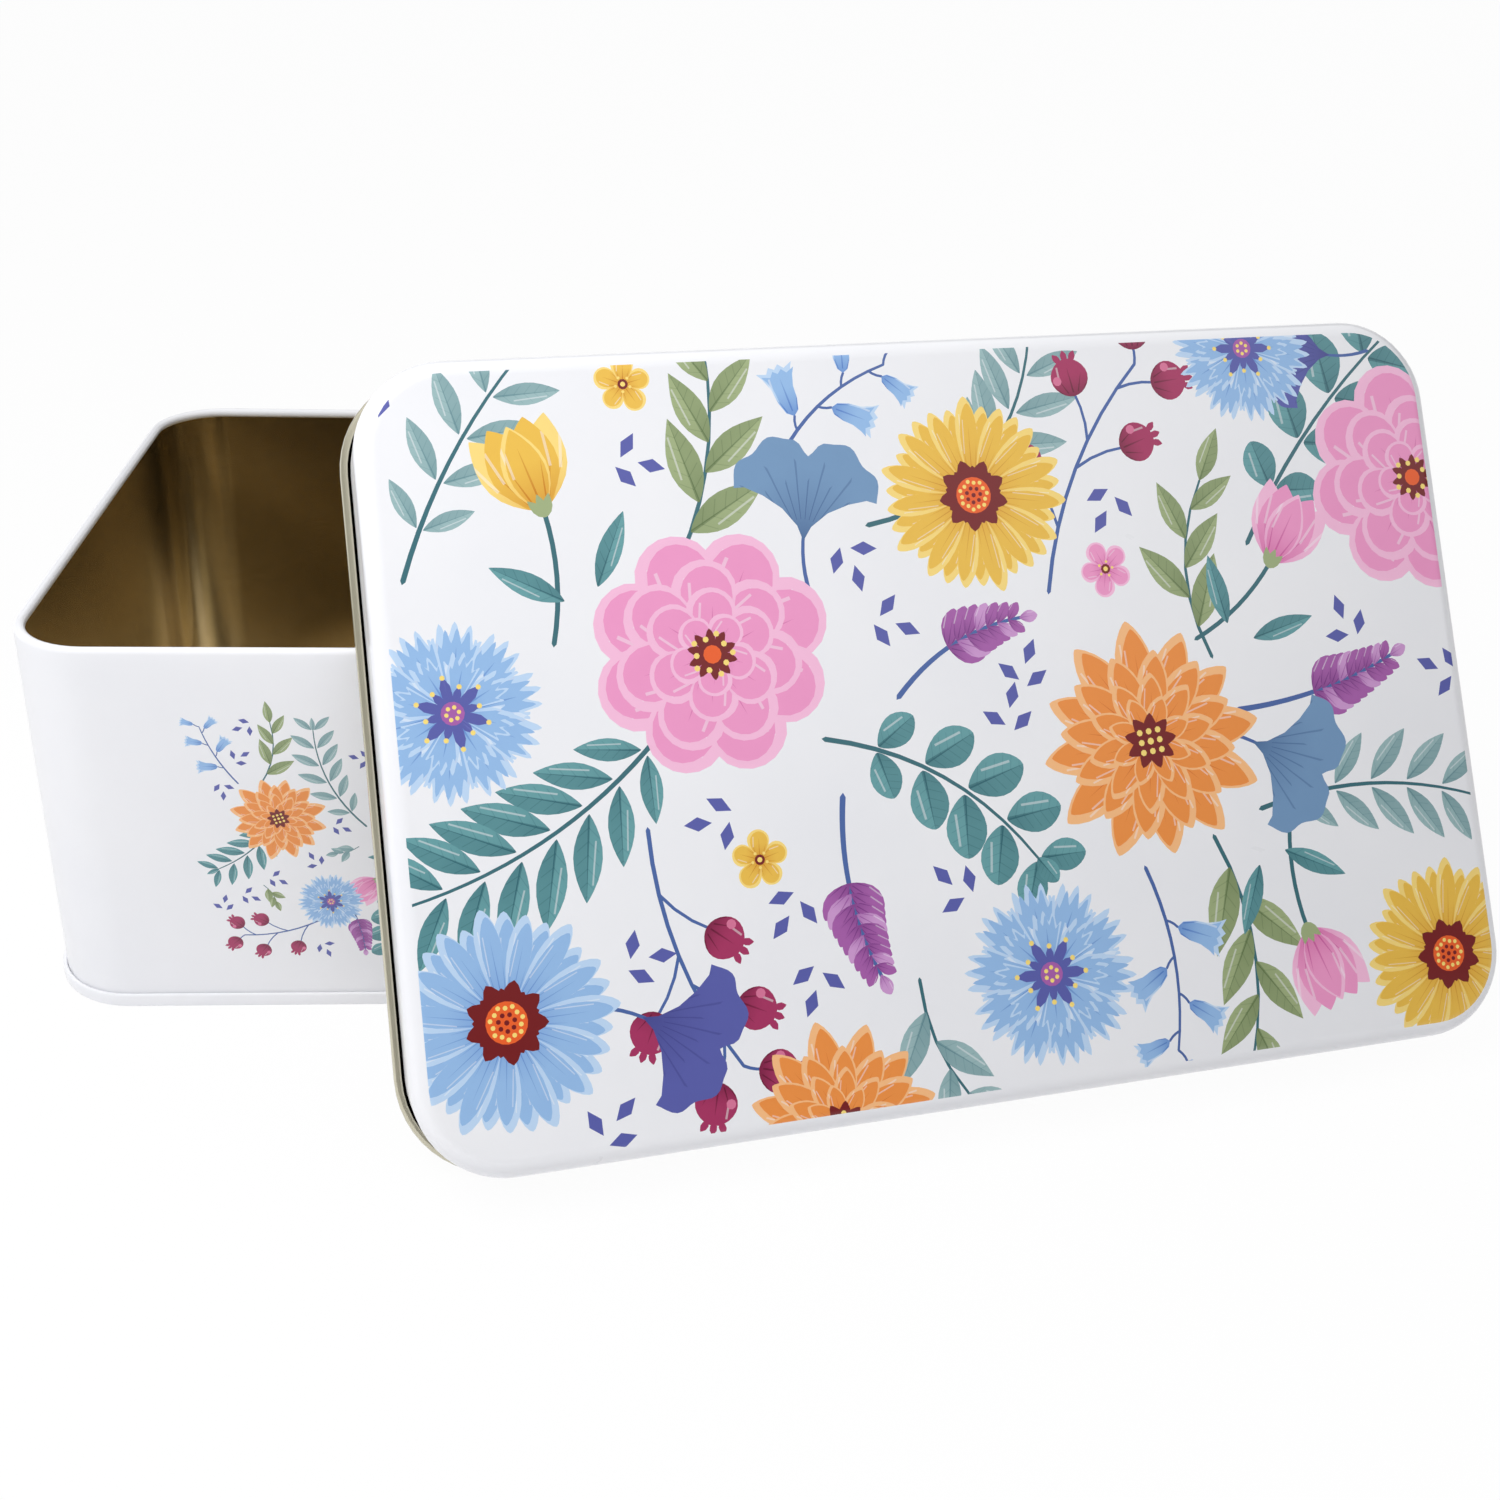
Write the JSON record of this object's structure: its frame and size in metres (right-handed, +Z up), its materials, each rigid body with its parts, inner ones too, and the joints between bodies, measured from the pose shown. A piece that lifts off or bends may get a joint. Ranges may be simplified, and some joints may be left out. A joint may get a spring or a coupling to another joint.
{
  "type": "storage tin",
  "caption": "Rectangular lacquered tin box with rounded corners, rolled rim and seamed bottom, and a lift-off lid that leans against it.",
  "frame": {"origin": "on the surface that the tin stands on, under the middle of the box and its leaning lid taken together", "axes": "+X along the long side of the box, to the right of a person facing its front; +Y to the back of the box; +Z up"},
  "size_m": [0.2706, 0.1916, 0.123],
  "materials": {
    "white_lacquer": "glossy white lacquer over tinplate, gold lacquer inside",
    "gold_lacquer": "clear gold protective lacquer over tinplate",
    "lid_lacquer": "glossy white lacquer with a printed floral pattern, gold lacquer inside"
  },
  "bodies": {
    "box": {"body_wall": "white_lacquer", "bottom_plate": "gold_lacquer"},
    "lid": {"lid": "lid_lacquer"}
  },
  "joints": [
    {"name": "lid_lift", "type": "slide", "parent": "box", "child": "lid", "axis": [0.1653, -0.8346, 0.5255], "range_m": [0, 0.06]}
  ]
}
